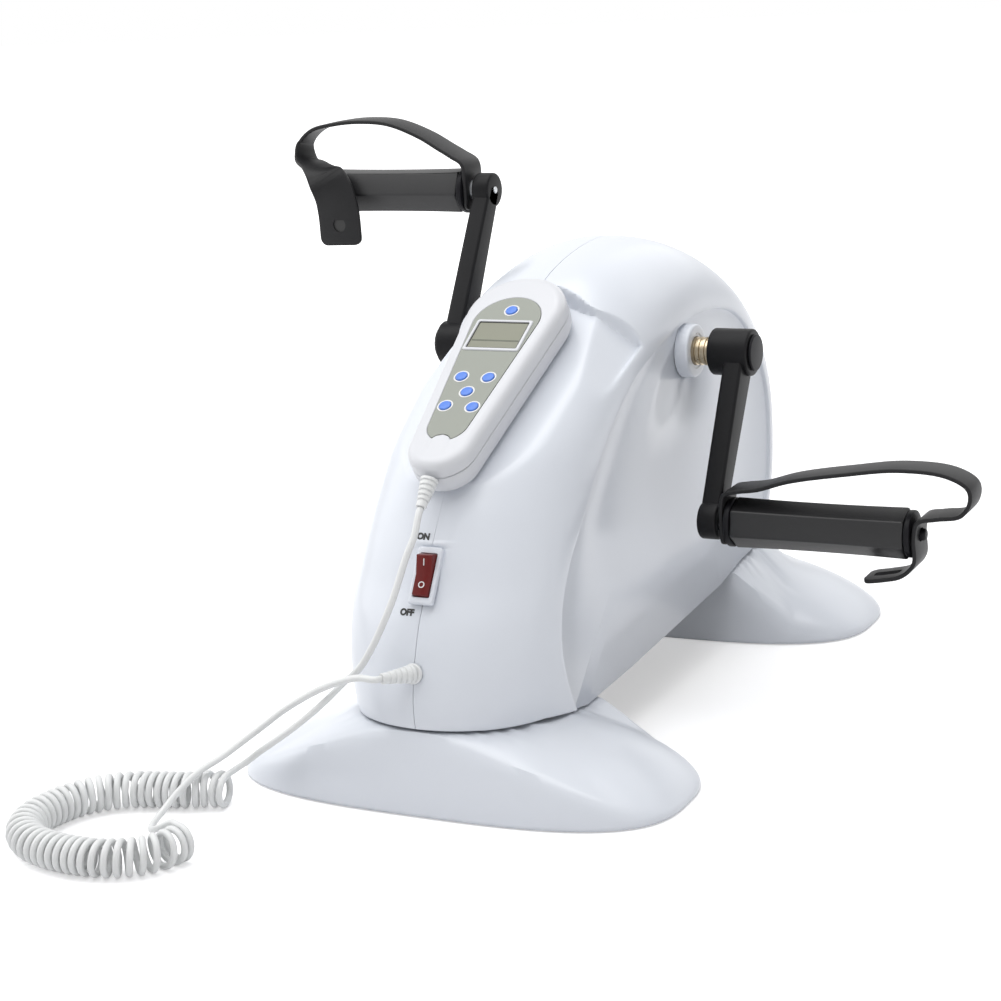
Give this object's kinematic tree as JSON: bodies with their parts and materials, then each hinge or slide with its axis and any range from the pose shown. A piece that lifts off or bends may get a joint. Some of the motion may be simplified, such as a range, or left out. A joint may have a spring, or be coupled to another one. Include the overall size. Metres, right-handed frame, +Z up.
{
  "type": "mini exercise bike",
  "caption": "Motor-driven mini exercise bike: tall domed shell on two oval feet, cranks with strapped pedals, and a handset on a curly cord.",
  "frame": {"origin": "on the floor, under the middle of the machine's outline, the cord left out", "axes": "+Z up, +X along the crank axle to the side that the right pedal is on, -Y towards the user and the handset"},
  "size_m": [0.484, 0.5661, 0.3405],
  "materials": {
    "white_gloss": "smooth glossy white",
    "rubber_black": "matt black",
    "paint_black": "satin black paint",
    "plastic_black": "matt black",
    "axle_steel": "turned steel with a warm tint",
    "zinc": "plain zinc",
    "rocker_red": "deep red, glossy",
    "face_grey": "warm grey, satin",
    "display": "dark green grey display behind a clear window",
    "button_blue": "blue, soft gloss",
    "cord_white": "white flexible sheath",
    "board_green": "green circuit card"
  },
  "bodies": {
    "base": {"shell_right": "white_gloss", "shell_left": "white_gloss", "front_foot": "white_gloss", "rear_foot": "white_gloss", "axle_collar_right": "white_gloss", "axle_collar_left": "white_gloss", "floor_pad_front_right": "rubber_black", "floor_pad_front_left": "rubber_black", "floor_pad_rear_right": "rubber_black", "floor_pad_rear_left": "rubber_black", "front_cross_bar": "paint_black", "rear_cross_bar": "paint_black", "chassis": "paint_black", "bearing_housing_right": "paint_black", "bearing_housing_left": "paint_black", "axle_bearing_right": "zinc", "axle_bearing_left": "zinc", "motor_bracket": "paint_black", "gear_motor": "zinc", "drive_belt": "rubber_black", "control_board": "board_green", "switch_body": "white_gloss", "mains_inlet": "plastic_black", "cord_gland": "cord_white", "cord_curl": "cord_white", "cord_lead_body": "cord_white", "cord_lead_handset": "cord_white"},
    "crank": {"crank_axle": "axle_steel", "crank_right": "paint_black", "crank_left": "paint_black", "hub_cap_right": "plastic_black", "hub_cap_left": "plastic_black", "pedal_spindle_right": "zinc", "pedal_spindle_left": "zinc", "drive_pulley": "zinc"},
    "pedal_right": {"pedal_disc_right": "plastic_black", "pedal_roller_right": "rubber_black", "pedal_cap_right": "plastic_black", "pedal_strap_right": "rubber_black"},
    "pedal_left": {"pedal_disc_left": "plastic_black", "pedal_roller_left": "rubber_black", "pedal_cap_left": "plastic_black", "pedal_strap_left": "rubber_black"},
    "motor_rotor": {"motor_pulley": "zinc"},
    "switch_rocker": {"rocker": "rocker_red"},
    "handset": {"handset_front": "white_gloss", "handset_back": "white_gloss", "face_plate": "face_grey", "display_frame": "white_gloss", "display_glass": "display", "handset_board": "board_green", "handset_relief": "cord_white"},
    "key_power": {"button_power": "button_blue"},
    "key_start": {"button_start": "button_blue"},
    "key_stop": {"button_stop": "button_blue"},
    "key_mode": {"button_mode": "button_blue"},
    "key_minus": {"button_minus": "button_blue"},
    "key_plus": {"button_plus": "button_blue"}
  },
  "joints": [
    {"name": "crank_spin", "type": "hinge", "parent": "base", "child": "crank", "pos_m": [-0.01123, 0.04534, 0.205], "axis": [1, 0, 0], "continuous": true},
    {"name": "pedal_right_spin", "type": "hinge", "parent": "crank", "child": "pedal_right", "pos_m": [0, -0.00885, 0.11623], "axis": [1, 0, 0], "continuous": true},
    {"name": "pedal_left_spin", "type": "hinge", "parent": "crank", "child": "pedal_left", "pos_m": [0, 0.09952, 0.29377], "axis": [1, 0, 0], "continuous": true},
    {"name": "motor_spin", "type": "hinge", "parent": "base", "child": "motor_rotor", "pos_m": [-0.01123, -0.04066, 0.118], "axis": [1, 0, 0], "continuous": true},
    {"name": "rocker_tilt", "type": "hinge", "parent": "base", "child": "switch_rocker", "pos_m": [-0.01123, -0.18127, 0.12705], "axis": [-1, 0, 0], "range_deg": [0, 20]},
    {"name": "handset_lift", "type": "slide", "parent": "base", "child": "handset", "axis": [0, -0.4879, 0.8729], "range_m": [0, 0.04]},
    {"name": "key_power_press", "type": "slide", "parent": "handset", "child": "key_power", "axis": [0, 0.4879, -0.8729], "range_m": [0, 0.0008], "stiffness_N_per_m": 600, "springref_m": -0.001},
    {"name": "key_start_press", "type": "slide", "parent": "handset", "child": "key_start", "axis": [0, 0.4879, -0.8729], "range_m": [0, 0.0008], "stiffness_N_per_m": 600, "springref_m": -0.001},
    {"name": "key_stop_press", "type": "slide", "parent": "handset", "child": "key_stop", "axis": [0, 0.4879, -0.8729], "range_m": [0, 0.0008], "stiffness_N_per_m": 600, "springref_m": -0.001},
    {"name": "key_mode_press", "type": "slide", "parent": "handset", "child": "key_mode", "axis": [0, 0.4879, -0.8729], "range_m": [0, 0.0008], "stiffness_N_per_m": 600, "springref_m": -0.001},
    {"name": "key_minus_press", "type": "slide", "parent": "handset", "child": "key_minus", "axis": [0, 0.4879, -0.8729], "range_m": [0, 0.0008], "stiffness_N_per_m": 600, "springref_m": -0.001},
    {"name": "key_plus_press", "type": "slide", "parent": "handset", "child": "key_plus", "axis": [0, 0.4879, -0.8729], "range_m": [0, 0.0008], "stiffness_N_per_m": 600, "springref_m": -0.001}
  ],
  "couplings": [
    {"joint": "motor_spin", "follows": "crank_spin", "ratio": 4}
  ]
}
